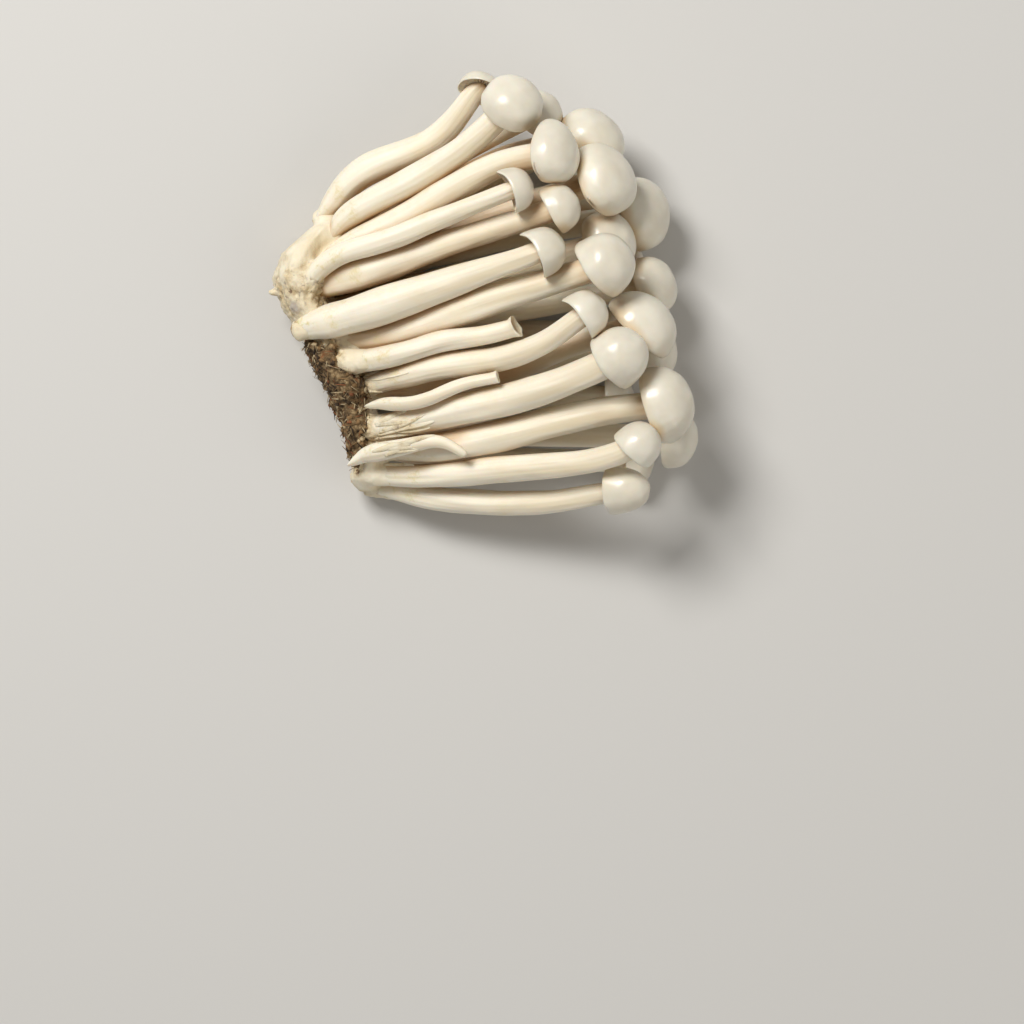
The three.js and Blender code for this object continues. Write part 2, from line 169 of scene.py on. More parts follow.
def new_material(name, base, roughness, scatter=0.0, coat=0.0):
    """A material and its shader, with the values that are the same all over set on the shader itself."""
    material = bpy.data.materials.new(name)
    material.use_nodes = True
    shader = material.node_tree.nodes["Principled BSDF"]
    shader.inputs["Base Color"].default_value = base
    shader.inputs["Roughness"].default_value = roughness
    shader.inputs["Subsurface Weight"].default_value = scatter
    shader.inputs["Subsurface Radius"].default_value = GLOW
    shader.inputs["Subsurface Scale"].default_value = GLOW_DEPTH
    shader.inputs["Coat Weight"].default_value = coat
    shader.inputs["Coat Roughness"].default_value = COAT_ROUGHNESS
    return material, shader


def add_node(beside, kind, **values):
    """A node in the material that the other node or socket is in. The values name its settings, or its
    sockets where it has no such setting."""
    node = beside.id_data.nodes.new("ShaderNode" + kind)
    for name, value in values.items():
        if hasattr(node, name):
            setattr(node, name, value)
        else:
            node.inputs[name.replace("_", " ")].default_value = value
    return node


def join(source, target):
    source.id_data.links.new(source, target)


def coordinates(shader, stretch=(1, 1, 1), attribute=None):
    """Object coordinates or an attribute of the piece, in metres, scaled on each axis."""
    if attribute:
        place = add_node(shader, "Attribute", attribute_name=attribute).outputs["Vector"]
    else:
        place = add_node(shader, "TexCoord").outputs["Object"]
    mapping = add_node(shader, "Mapping")
    mapping.inputs["Scale"].default_value = stretch
    join(place, mapping.inputs["Vector"])
    return mapping.outputs["Vector"]


def attribute_share(shader, name):
    """An attribute that holds one number for each point of the piece."""
    return add_node(shader, "Attribute", attribute_name=name).outputs["Fac"]


def noise_of(place, per_metre, detail=3.0, roughness=0.55):
    """Noise with about that many lumps in a metre."""
    texture = add_node(place, "TexNoise", Scale=per_metre, Detail=detail, Roughness=roughness)
    join(place, texture.inputs["Vector"])
    return texture.outputs["Fac"]


def ramp(value, stops):
    """Turns a value into a colour. The stops are pairs of a place from 0 to 1 and a colour."""
    node = add_node(value, "ValToRGB")
    band = node.color_ramp
    while len(band.elements) < len(stops):
        band.elements.new(0.5)
    for element, (at, tint) in zip(band.elements, stops):
        element.position = at
        element.color = tint
    join(value, node.inputs["Fac"])
    return node.outputs["Color"]


def mixed(share, first, second):
    """The second colour over the first. Each colour is a socket or a value."""
    node = add_node(share, "Mix", data_type="RGBA")
    for name, value in (("Factor", share), ("A", first), ("B", second)):
        socket = next(s for s in node.inputs if s.name == name and s.enabled)
        if isinstance(value, bpy.types.NodeSocket):
            join(value, socket)
        else:
            socket.default_value = value
    return next(s for s in node.outputs if s.enabled)


def bumped(shader, heights):
    """Adds relief. The heights are pairs of a socket from 0 to 1 and the depth of the relief in metres."""
    normal = None
    for value, depth in heights:
        node = add_node(shader, "Bump", Strength=1.0, Distance=depth)
        join(value, node.inputs["Height"])
        if normal:
            join(normal, node.inputs["Normal"])
        normal = node.outputs["Normal"]
    join(normal, shader.inputs["Normal"])


def span(value, low, high):
    """A share that grows from 0 at low to 1 at high, softly."""
    node = add_node(value, "MapRange", interpolation_type="SMOOTHSTEP")
    node.inputs["From Min"].default_value = low
    node.inputs["From Max"].default_value = high
    join(value, node.inputs["Value"])
    return node.outputs["Result"]


# %% [markdown]
# ## Flesh of the stems
# A stem is a bundle of fine fibres that run from root to cap. Its pattern has to follow it round every
# bend, so the material reads an attribute: each point's place on the stem while it was still straight.
# Noise that is stretched along that stem makes the fibres. Near the root the flesh is yellower, and it is
# brown where it was cut. Where the stems press on each other little light reaches, and that shade is
# painted into the flesh as a tan tint. A second attribute says how closed in each point is, and so how
# strong the painted shade is.

# %% Make the stem flesh and the floor
FIBRE = "straight_place"
PAINTED_SHADE = "painted_shade"
STRETCH = 0.045
SCALES_FROM, SCALES_TO = 22 * MM, 2 * MM
CUT_FROM, CUT_TO = 1.6 * MM, 0.2 * MM

stem_flesh, shader = new_material("stem_flesh", colour(240, 230, 204), 0.48, scatter=0.22)
along = coordinates(shader, attribute=FIBRE)
drawn = coordinates(shader, stretch=(1, 1, STRETCH), attribute=FIBRE)
fibres = noise_of(drawn, 1500, detail=4)
streaks = noise_of(drawn, 420, detail=2)
clouds = noise_of(along, 110, detail=3)
flecks = noise_of(along, 260, detail=4, roughness=0.7)
tone = ramp(streaks, [(0.30, colour(230, 217, 189)), (0.62, colour(244, 237, 219))])
tone = mixed(span(clouds, 0.50, 0.80), tone, colour(235, 220, 184))
# Painted shade: a tan tint on the stem where other pieces close it in and little light reaches.
painted_shade = attribute_share(shader, PAINTED_SHADE)
tone = mixed(span(painted_shade, 0.30, 0.95), tone, colour(208, 174, 130))
separate = add_node(shader, "SeparateXYZ")
join(along, separate.inputs["Vector"])
near_root = span(separate.outputs["Z"], SCALES_FROM, SCALES_TO)
scales = add_node(shader, "Math", operation="MULTIPLY")
join(near_root, scales.inputs[0])
join(span(flecks, 0.51, 0.68), scales.inputs[1])
tone = mixed(scales.outputs["Value"], tone, colour(219, 205, 150))
cut_edge = span(separate.outputs["Z"], CUT_FROM, CUT_TO)
tone = mixed(cut_edge, tone, colour(172, 138, 92))
join(tone, shader.inputs["Base Color"])
bumped(shader, [(fibres, 0.10 * MM), (streaks, 0.30 * MM), (clouds, 0.35 * MM)])

floor_paint, shader = new_material("floor_paint", colour(208, 207, 204), 0.75)
floor.data.materials.append(floor_paint)

# %% [markdown]
# ## Skin and gills of the caps
# The skin of a cap is smoother than the stem and has a waxy sheen, so it gets a thin coat. Its colour is a
# greyer ivory with faint clouds, with a tan tint painted as shade where other pieces close it in. The gills
# below are the same cream as the stem, only softer.

# %% Make the cap skin and the gills
cap_skin, shader = new_material("cap_skin", colour(234, 229, 212), 0.34, scatter=0.22, coat=0.30)
place = coordinates(shader)
clouds = noise_of(place, 95, detail=3)
pores = noise_of(place, 1400, detail=2)
dents = noise_of(place, 240, detail=2)
tone = ramp(clouds, [(0.35, colour(220, 213, 195)), (0.65, colour(234, 229, 214))])
# Painted shade: a tan tint on the cap where other pieces close it in and little light reaches.
painted_shade = attribute_share(shader, PAINTED_SHADE)
tone = mixed(span(painted_shade, 0.35, 1.0), tone, colour(212, 186, 146))
join(tone, shader.inputs["Base Color"])
bumped(shader, [(pores, 0.02 * MM), (dents, 0.10 * MM)])

gill_flesh, shader = new_material("gill_flesh", colour(232, 216, 190), 0.60, scatter=0.25)
clouds = noise_of(coordinates(shader), 300, detail=3)
tone = ramp(clouds, [(0.30, colour(222, 200, 170)), (0.70, colour(240, 226, 204))])
join(tone, shader.inputs["Base Color"])

# %% [markdown]
# ## Tissue of the butt
# Where the stems have grown together the lump is as smooth and pale as they are. Low on its cut side and
# next to the growing block it is crumbly: beige, with brown specks. There is one greyish bruise. The piece
# carries an attribute that says how crumbly each point is.

# %% Make the butt tissue
CRUMBLY = "crumbly"
BRUISE_AT = (-43.6 * MM, -3.2 * MM, 20.5 * MM)
BRUISE_FROM, BRUISE_TO = 7.2 * MM, 5.2 * MM
BRUISE_RAGGED = 9 * MM

butt_tissue, shader = new_material("butt_tissue", colour(212, 196, 160), 0.75, scatter=0.12)
place = coordinates(shader)
rough = attribute_share(shader, CRUMBLY)
clouds = noise_of(place, 130, detail=4)
grains = noise_of(place, 900, detail=4, roughness=0.7)
specks = noise_of(place, 620, detail=3, roughness=0.6)
smooth_tone = ramp(clouds, [(0.32, colour(230, 216, 184)), (0.66, colour(244, 236, 214))])
crumb_tone = ramp(grains, [(0.30, colour(150, 118, 76)), (0.46, colour(202, 180, 138)),
                           (0.66, colour(232, 218, 184))])
crumb_tone = mixed(span(specks, 0.57, 0.66), crumb_tone, colour(112, 80, 48))
tone = mixed(rough, smooth_tone, crumb_tone)
from_bruise = add_node(shader, "VectorMath", operation="DISTANCE")
join(place, from_bruise.inputs[0])
from_bruise.inputs[1].default_value = BRUISE_AT
ragged = add_node(shader, "Math", operation="MULTIPLY_ADD")
join(clouds, ragged.inputs[0])
ragged.inputs[1].default_value = BRUISE_RAGGED
join(from_bruise.outputs["Value"], ragged.inputs[2])
bruise = span(ragged.outputs["Value"], BRUISE_FROM, BRUISE_TO)
tone = mixed(bruise, tone, colour(190, 180, 166))
join(tone, shader.inputs["Base Color"])
bumped(shader, [(grains, 0.20 * MM), (clouds, 0.30 * MM)])

# %% [markdown]
# ## The growing block
# The block is packed sawdust, bound by the fungus. It is dark brown, with lighter and reddish fibres and
# bits of pale growth. The loose fibres and chips that stand out of it have four plainer tones.

# %% Make the growing block and its fibres
growing_block, shader = new_material("growing_block", colour(84, 64, 40), 0.92)
place = coordinates(shader)
grains = noise_of(place, 700, detail=5, roughness=0.7)
patches = noise_of(place, 210, detail=3)
tone = ramp(grains, [(0.36, colour(54, 40, 26)), (0.50, colour(112, 90, 60)),
                     (0.66, colour(170, 146, 108))])
tone = mixed(span(patches, 0.60, 0.74), tone, colour(146, 96, 58))
join(tone, shader.inputs["Base Color"])
bumped(shader, [(grains, 0.5 * MM)])

FIBRE_TONES = {
    "dark_fibre": colour(66, 49, 31),
    "brown_fibre": colour(138, 108, 70),
    "pale_fibre": colour(202, 182, 144),
    "red_fibre": colour(150, 92, 56),
}
SHADE = 0.6
fibre_materials = []
for name, base in FIBRE_TONES.items():
    material, shader = new_material(name, base, 0.85)
    tint = noise_of(coordinates(shader), 500)
    darker = [SHADE * share for share in base[:3]] + [1]
    tone = mixed(span(tint, 0.40, 0.62), darker, base)
    join(tone, shader.inputs["Base Color"])
    fibre_materials.append(material)

# %% [markdown]
# ## Helpers for the meshes
# The model's meshes are loose triangles, so a copy is merged before anything is measured on it. A finished
# piece goes into the scene at the origin, rides with the cluster and takes the place of its plain node.

# %% Helpers that read the model and place a piece
SAME_PLACE = 1e-6
SEAM = 1e-5


def merged(node):
    """A copy of a node's mesh with its triangles joined."""
    bm = bmesh.new()
    bm.from_mesh(frame["nodes"][node].data)
    bmesh.ops.remove_doubles(bm, verts=bm.verts, dist=SAME_PLACE)
    return bm


def placed(bm, name, materials, nodes):
    """Makes the mesh a piece of the cluster that stands for those nodes."""
    piece = in_scene(name, mesh_of(bm, name))
    for material in materials:
        piece.data.materials.append(material)
    piece.data.shade_smooth()
    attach(piece, "root")
    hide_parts(*nodes)
    return piece


def lay_flat(bm):
    """Presses what would sink into the surface flat on it."""
    for vert in bm.verts:
        vert.co.z = max(vert.co.z, 0)


def spun(points, steps):
    """The closed shell that a line of points, each a reach and a height, leaves when it turns round Z."""
    bm = bmesh.new()
    profile = [bm.verts.new((reach, 0, height)) for reach, height in points]
    edges = [bm.edges.new(pair) for pair in zip(profile, profile[1:])]
    bmesh.ops.spin(bm, geom=profile + edges, cent=(0, 0, 0), axis=(0, 0, 1), steps=steps, angle=2 * math.pi,
                   use_merge=True)
    bmesh.ops.remove_doubles(bm, verts=bm.verts, dist=SEAM)
    bmesh.ops.recalc_face_normals(bm, faces=bm.faces)
    return bm


# %% [markdown]
# ## Measuring a stem
# A stem in the model is a bent spindle, cut here and there where a neighbour presses on it. Slices across
# it give its middle line, and a smooth curve of low degree through the middles of the slices can't wobble.
# Rays from that line outwards then give its girth on all sides.

# %% Find the middle line of a stem
SLICES = 14
REPEATS = 2
CURVE_DEGREE = 5
RIM_SHARE = 0.04


def slice_middle(bm, point, across):
    """The middle of the outline that a plane cuts from the mesh, weighted by length."""
    cut = bm.copy()
    found = bmesh.ops.bisect_plane(cut, geom=cut.verts[:] + cut.edges[:] + cut.faces[:], plane_co=point,
                                   plane_no=across)
    edges = [part for part in found["geom_cut"] if isinstance(part, bmesh.types.BMEdge)]
    total = sum(edge.calc_length() for edge in edges)
    middle = sum(((edge.verts[0].co + edge.verts[1].co) * edge.calc_length() / 2 for edge in edges), Vector())
    cut.free()
    return middle / total


class Stem:
    """The middle line of a stem, from 0 at the root to 1 at the tip, and the frame that turns along it."""

    def __init__(self, node):
        self.node = node
        bm = merged(node)
        self.tree = BVHTree.FromBMesh(bm)
        points = np.array([vert.co for vert in bm.verts])
        run = Vector(np.linalg.svd(points - points.mean(0))[2][0])
        if run.x < 0:
            run.negate()
        along = points @ np.array(run)
        shares = np.linspace(RIM_SHARE, 1 - RIM_SHARE, SLICES)
        heights = along.min() + shares * np.ptp(along)
        start = Vector(points.mean(0))
        middles = [slice_middle(bm, start + run * (height - start.dot(run)), run) for height in heights]
        for _ in range(REPEATS):
            turns = [middles[min(i + 1, SLICES - 1)] - middles[max(i - 1, 0)] for i in range(SLICES)]
            middles = [slice_middle(bm, point, turn) for point, turn in zip(middles, turns)]
        bm.free()
        first = self.end_of(middles[0], middles[0] - middles[1])
        last = self.end_of(middles[-1], middles[-1] - middles[-2])
        middles = [first, *middles, last]
        steps = [(b - a).length for a, b in zip(middles, middles[1:])]
        self.length = sum(steps)
        shares = np.concatenate([[0], np.cumsum(steps)]) / self.length
        self.curve = [np.polyfit(shares, row, CURVE_DEGREE) for row in zip(*middles)]
        self.slope = [np.polyder(part) for part in self.curve]

    def end_of(self, point, way):
        """Where a ray from inside the stem leaves it."""
        hit = self.tree.ray_cast(point, way.normalized())[0]
        return hit if hit else point

    def tangent(self, share):
        share = min(max(share, 0), 1)
        return Vector([np.polyval(part, share) for part in self.slope]).normalized()

    def middle(self, share):
        """A point of the line. Past its ends the line goes straight on."""
        inside = min(max(share, 0), 1)
        point = Vector([np.polyval(part, inside) for part in self.curve])
        return point + self.tangent(inside) * (share - inside) * self.length

    def frames(self, shares):
        """At each share a middle, a tangent and two directions across, which turn only as the bend needs."""
        side = UP
        found = []
        for share in shares:
            tangent = self.tangent(share)
            side = (side - tangent * side.dot(tangent)).normalized()
            found.append((self.middle(share), tangent, side, tangent.cross(side)))
        return found


STEM_NODES = sorted(name for name in frame["nodes"] if "stem" in name)
stems = {node: Stem(node) for node in STEM_NODES}
lengths = [stem.length / MM for stem in stems.values()]
print(len(stems), "stems, from", round(min(lengths)), "to", round(max(lengths)), "mm long")

# %% [markdown]
# ## Girth of a stem
# The spindle in the model has few sides, so rays that meet its corners measure more than rays that meet its
# flats. Leaving out the quick changes round the stem, which a Fourier transform makes easy, gives a round
# stem again and keeps the broad hollows that the neighbours pressed into it.

# %% Measure the girth all round
SIDES = 64
RINGS = 100
BROAD_WAVES = 3
CORNER_SHARE = 1.045
FIRST_SHARE = 0.012
WILD = 1.8
BLUR = 4


def girth_table(stem):
    """The radius of the stem on every ring and side."""
    angles = np.arange(SIDES) * 2 * math.pi / SIDES
    radii = np.zeros((RINGS, SIDES))
    shares = np.linspace(FIRST_SHARE, 1 - FIRST_SHARE, RINGS)
    for ring, (middle, _, side, other) in enumerate(stem.frames(shares)):
        for index, angle in enumerate(angles):
            way = side * math.cos(angle) + other * math.sin(angle)
            distance = stem.tree.ray_cast(middle, way)[3]
            radii[ring, index] = distance if distance else np.nan
    typical = np.nanmedian(radii)
    radii = np.where(np.isnan(radii), typical, np.minimum(radii, WILD * typical))
    waves = np.fft.rfft(radii, axis=1)
    waves[:, BROAD_WAVES + 1:] = 0
    radii = np.fft.irfft(waves, SIDES, axis=1) * CORNER_SHARE
    window = np.exp(-0.5 * (np.arange(-3 * BLUR, 3 * BLUR + 1) / BLUR) ** 2)
    ends = np.pad(radii, ((3 * BLUR, 3 * BLUR), (0, 0)), mode="edge")
    blurred = [np.convolve(column, window / window.sum(), mode="valid") for column in ends.T]
    return np.array(blurred).T


for stem in stems.values():
    stem.girth = girth_table(stem)
    stem.mean_girth = stem.girth.mean()
girths = [stem.mean_girth / MM for stem in stems.values()]
print("mean radius in mm:", round(min(girths), 2), "to", round(max(girths), 2))

# %% [markdown]
# ## How closed in a place is
# Deep between the stems hardly any light arrives. That shade is painted into the flesh as a tan tint, as
# strong as the place is closed in. Short rays from a point tell how much of its surroundings is taken up
# by other pieces. It is measured at some points and blended between them.

# %% Measure how closed in a place is, for the painted shade
CROWD_REACH = 14 * MM
CROWD_LIFT = 0.5 * MM
CROWD_BLEND = 1.6 * MM
WAYS = 16
GRAZING = 0.1
NEAREST = 16
SPARSE = 9

crowd = bmesh.new()
for node in frame["nodes"]:
    crowd.from_mesh(frame["nodes"][node].data)
crowd_tree = BVHTree.FromBMesh(crowd)
crowd.free()
spiral = []
for index in range(WAYS):
    level = 1 - (2 * index + 1) / WAYS
    turn = index * math.pi * (3 - math.sqrt(5))
    spiral.append(Vector((math.cos(turn), math.sin(turn), 0)) * math.sqrt(1 - level ** 2) + UP * level)


def crowding(point, normal):
    """The share of the rays from just above a surface that meet something close by."""
    start = point + normal * CROWD_LIFT
    ways = [way for way in spiral if way.dot(normal) > GRAZING]
    met = sum(1 for way in ways if crowd_tree.ray_cast(start, way, CROWD_REACH)[0])
    return met / len(ways)


def mark_painted_shade(bm, verts):
    """Measures the crowding at some of those points, and gives every point a blend of the nearest ones.
    The blend is the attribute that sets the painted shade.
    """
    spots = [(vert.co.copy(), vert.normal.copy()) for vert in list(verts)[::SPARSE]]
    layer = bm.verts.layers.float.new(PAINTED_SHADE)
    tree = KDTree(len(spots))
    for index, (spot, _) in enumerate(spots):
        tree.insert(spot, index)
    tree.balance()
    measured = [crowding(*spot) for spot in spots]
    for vert in bm.verts:
        near = tree.find_n(vert.co, NEAREST)
        weights = [math.exp(-(distance / CROWD_BLEND) ** 2) + 1e-6 for _, _, distance in near]
        shares = [weight * measured[index] for weight, (_, index, _) in zip(weights, near)]
        vert[layer] = sum(shares) / sum(weights)


# %% [markdown]
# ## Building a stem
# A profile of unit radius is spun into a straight spindle with round ends. Each of its points is then moved
# to the same share of the bent line, out to the girth that was measured there. Noise that is stretched
# along the stem raises long shallow ridges. The straight place of each point is kept in the attribute that
# the material reads.

# %% Build the stems
RIDGE, RIDGE_WIDTH, RIDGE_LENGTH = 0.07 * MM, 0.8 * MM, 14 * MM
SWELL, SWELL_WIDTH, SWELL_LENGTH = 0.22 * MM, 2.4 * MM, 9 * MM
ROUND_ENDS = 1.3
POLE, BLUNT = 0.22, 0.45
CUT_DISC = [(0.94, 1), (0.80, 1), (0.60, 1), (0.40, 1), (0.20, 1)]
LOOSE_TIP = 0.25
ROOTED = 1.6
ROOT_DEPTH = 3.5 * MM
SHALLOW_ROOTS = {"stem_02": 1.2 * MM, "stem_14": 0.6 * MM}
COLLAR = 2.2 * MM
LOOSE_ROOT = 9 * MM
UNCUT = 7 * MM
WIDE_ROOTS = {
    "stem_02": {"more": 0.42, "at": 5.5 * MM, "spread": 5.0 * MM},
    "stem_04": {"more": 0.50, "at": 11.0 * MM, "spread": 11.0 * MM},
}
CUT_ENDS = {
    "broken_stem": {"flare": 0.22, "hollow": 1.1 * MM},
    "stunted_1_stem": {"flare": 0.10, "hollow": 0.3 * MM},
}


def spindle(rings, sides, round_off, cut=False):
    """A closed spindle of unit radius from 0 to 1 along Z. round_off is the length of its rounded ends.
    The upper end of a cut one is flat."""
    profile = [(0, 0), (POLE, 0)]
    for step in np.linspace(0, 1, rings):
        edge = step / round_off if cut else min(step, 1 - step) / round_off
        fall = math.sqrt(1 - (1 - min(edge, 1)) ** 2)
        profile.append((BLUNT + (1 - BLUNT) * fall, step))
    profile += CUT_DISC if cut else [(POLE, 1)]
    return spun([*profile, (0, 1)], sides)


def girth_at(stem, share, angle):
    """The girth at any share and angle, blended from the four nearest values of the table."""
    ring = min(max(share, 0), 1) * (RINGS - 1)
    index = angle / (2 * math.pi) * SIDES
    below, left = int(ring), int(index) % SIDES
    above, right = min(below + 1, RINGS - 1), (left + 1) % SIDES
    up, turn = ring - below, index - int(index)
    first = stem.girth[below, left] * (1 - up) + stem.girth[above, left] * up
    second = stem.girth[below, right] * (1 - up) + stem.girth[above, right] * up
    return first * (1 - turn) + second * turn


def stretched_noise(place, width, length, offset):
    """Noise in lumps of that width across the stem and that length along it."""
    return noise.noise(Vector((place.x / width, place.y / width, place.z / length)) + offset)


def stem_mesh(stem, seed):
    """The stem as a fine mesh, which goes on a little past its root."""
    end = CUT_ENDS.get(stem.node)
    wide = WIDE_ROOTS.get(stem.node)
    bm = spindle(RINGS + 12, SIDES, ROUND_ENDS * stem.mean_girth / stem.length, cut=bool(end))
    layer = bm.verts.layers.float_vector.new(FIBRE)
    low = -stem.deep / stem.length
    levels = sorted({round(vert.co.z, 6) for vert in bm.verts})
    table = dict(zip(levels, stem.frames([low + (1 - low) * level for level in levels])))
    offset = Vector((seed * 7.31, seed * 3.17, 0))
    for vert in bm.verts:
        level = round(vert.co.z, 6)
        share = low + (1 - low) * level
        reach = math.hypot(vert.co.x, vert.co.y)
        angle = math.atan2(vert.co.y, vert.co.x) % (2 * math.pi)
        around = Vector((math.cos(angle), math.sin(angle), 0))
        straight = around * stem.mean_girth
        straight.z = share * stem.length + (0 if stem.rooted else UNCUT)
        radius = girth_at(stem, share, angle)
        radius += SWELL * stretched_noise(straight, SWELL_WIDTH, SWELL_LENGTH, offset)
        radius += RIDGE * stretched_noise(straight, RIDGE_WIDTH, RIDGE_LENGTH, offset)
        middle, tangent, side, other = table[level]
        out = side * math.cos(angle) + other * math.sin(angle)
        if wide:
            away = (share * stem.length - wide["at"]) / wide["spread"]
            radius *= 1 + wide["more"] * math.exp(-away ** 2)
        if not stem.rooted:
            from_root = (share - low) * stem.length / LOOSE_ROOT
            radius *= LOOSE_TIP + (1 - LOOSE_TIP) * math.sin(math.pi / 2 * min(max(from_root, 0), 1))
        if end:
            near_end = max(0, 1 - (1 - share) * stem.length / COLLAR)
            uneven = 0.5 + noise.noise(around * 1.4 + offset)
            radius *= 1 + end["flare"] * near_end ** 3 * (0.5 + uneven)
            if share > 1 - 1e-4:
                sunk = (1 - reach ** 3) * (0.6 + 0.5 * uneven) - 0.5 * uneven
                middle = middle - tangent * end["hollow"] * sunk
        vert.co = middle + out * radius * reach
        vert[layer] = straight
    lay_flat(bm)
    bm.normal_update()
    mark_painted_shade(bm, bm.verts)
    return bm


butt_tree = BVHTree.FromBMesh(merged("butt"))
for seed, (node, stem) in enumerate(stems.items()):
    gap = butt_tree.find_nearest(stem.middle(0))[3]
    stem.rooted = gap < ROOTED * stem.mean_girth and "stunted" not in node
    stem.deep = SHALLOW_ROOTS.get(node, ROOT_DEPTH)
    placed(stem_mesh(stem, seed), "fine_" + node, [stem_flesh], [node])
print(sum(stem.rooted for stem in stems.values()), "stems are rooted in the butt")

# %% [markdown]
# ## Measuring a cap
# The dome of a cap in the model is a fan of faces round its top. That top is the point where most edges
# meet, and the ring of their other ends lies level across the cap. So the ring's plane gives the way the
# cap faces, and its two widths give how wide and how narrow the cap is.

# %% Measure the caps
RING_REACH = 0.56
RING_RISE = 0.84


class Cap:
    """Where a cap sits and how large it is. Its height is along its axis, its reach across it two ways."""

    def __init__(self, node):
        self.node = node
        bm = merged(node)
        self.tree = BVHTree.FromBMesh(bm)
        top = max(bm.verts, key=lambda vert: len(vert.link_edges))
        ring = np.array([edge.other_vert(top).co for edge in top.link_edges])
        centre = ring.mean(0)
        _, widths, ways = np.linalg.svd(ring - centre)
        rise = top.co - Vector(centre)
        self.axis = rise.normalized()
        self.wide = Vector(ways[0])
        self.narrow = self.axis.cross(self.wide)
        self.reach, self.short_reach = widths[:2] / math.sqrt(len(ring) / 2) / RING_REACH
        self.height = rise.length / (1 - RING_RISE)
        self.seat = top.co - self.axis * self.height
        bm.free()


CAP_NODES = sorted(name for name in frame["nodes"] if name.startswith("cap_"))
caps = {node: Cap(node) for node in CAP_NODES}
reaches = [cap.reach / MM for cap in caps.values()]
print(len(caps), "caps, from", round(2 * min(reaches), 1), "to", round(2 * max(reaches), 1), "mm across")

# %% [markdown]
# ## Building a cap
# One profile holds the dome, the rolled rim and the roof between the gills, and a spin closes it. The gills
# are thin blades that hang from the roof. Real ones come in tiers: between two long ones that reach the
# stem stands a short one near the rim. One blade of each tier is made, and spun copies fill the circle.

# %% Build the caps
LINES = 96
DOME_POWER = 2.15
RIM = [(1.000, -0.025), (0.998, -0.065), (0.988, -0.100), (0.968, -0.126), (0.948, -0.128), (0.932, -0.108)]
ROOF = [(0.920, -0.060), (0.895, -0.010), (0.840, 0.040), (0.740, 0.090), (0.580, 0.150), (0.420, 0.205)]
ROOF_AT_STEM = 0.250
GILL_EDGE = [(0.915, -0.088), (0.860, -0.060), (0.740, -0.015), (0.580, 0.045), (0.440, 0.095)]
GILL_AT_STEM = 0.130
GILL_START = 0.918
LONG_GILLS = 26
GILL_THICKNESS = 0.26 * MM
WAVY_RIM = 0.035
SOFT_DOME = 0.026
PRESS = 0.30 * MM
DOME_WAVES = 3
FACET_SHARE = 1.026
OUTSIDE = 1.6
HOODS = {"cap_01": 0.26, "cap_02": 0.28, "cap_03": 0.24, "cap_04": 0.10, "cap_05": 0.10, "cap_06": 0.14,
         "cap_09": 0.12, "cap_13": 0.10}
SLIGHT_HOOD = 0.05
HOOD_LIP = 0.55
HOOD_HEIGHT = 0.8
FAR_HOOD = 0.4
HOOD_OUT = 0.1
PRESSED_HOOD = 0.03
CLEAR_OF_STEM = 0.05
STATIONS = 9
BURIED = 0.03
LONG_REST = 0.02
SHORT_GILL = 0.56
SHORT_GILL_RISE = 0.16
LOWEST_GILL = -0.10
NECK_ROOM = 1.03

turns = [math.radians(90 - 5 * step) for step in range(19)]
DOME = [(abs(math.cos(turn)) ** (2 / DOME_POWER), math.sin(turn)) for turn in turns]


def dome_table(cap):
    """How far the model's dome stands out on every line and ring, as a share of an even dome. The quick
    changes round the cap are left out, as they come from its flat faces."""
    inside = cap.seat + cap.axis * 0.5 * cap.height
    table = np.ones((len(DOME), LINES))
    for row, (across, rise) in enumerate(DOME):
        for line in range(LINES):
            turn = 2 * math.pi * line / LINES
            spot = cap.wide * math.cos(turn) * cap.reach + cap.narrow * math.sin(turn) * cap.short_reach
            way = cap.seat + spot * across + cap.axis * rise * cap.height - inside
            distance = cap.tree.ray_cast(inside + way * OUTSIDE, -way)[3]
            table[row, line] = OUTSIDE - distance / way.length if distance else 1
    waves = np.fft.rfft(table, axis=1)
    waves[:, DOME_WAVES + 1:] = 0
    table = np.fft.irfft(waves, LINES, axis=1)
    padded = np.pad(table, ((2, 2), (0, 0)), mode="edge")
    return sum(padded[shift:shift + len(DOME)] for shift in range(5)) / 5 * FACET_SHARE


def dome_profile(neck):
    """Each point is a share of the reach, a height, and whether it is part of the dome. Heights on the dome
    run from 0 to 1, and below it they are shares of the reach."""
    dome = [(*point, True) for point in DOME]
    under = [(*point, False) for point in RIM + [p for p in ROOF if p[0] > neck + CLEAR_OF_STEM]]
    return dome + under + [(neck, ROOF_AT_STEM, False), (0, ROOF_AT_STEM + 0.02, False)]


def blade(outer, inner, neck):
    """One gill in the plane of X and Z. It hangs from the roof, from the inner share of the reach to the
    outer one."""
    clear = neck + CLEAR_OF_STEM
    roof = [(neck, ROOF_AT_STEM), *reversed([point for point in ROOF if point[0] > clear])]
    edge = [(neck, GILL_AT_STEM), *reversed([point for point in GILL_EDGE if point[0] > clear])]
    stations = np.linspace(inner, outer, STATIONS)
    high = np.interp(stations, *zip(*roof)) + BURIED
    low = np.interp(stations, *zip(*edge))
    if inner > neck + LONG_REST:
        low = high - BURIED - (high - BURIED - low) * np.clip((stations - inner) / SHORT_GILL_RISE, 0, 1)
    return list(zip(stations, low)), list(zip(stations, high))


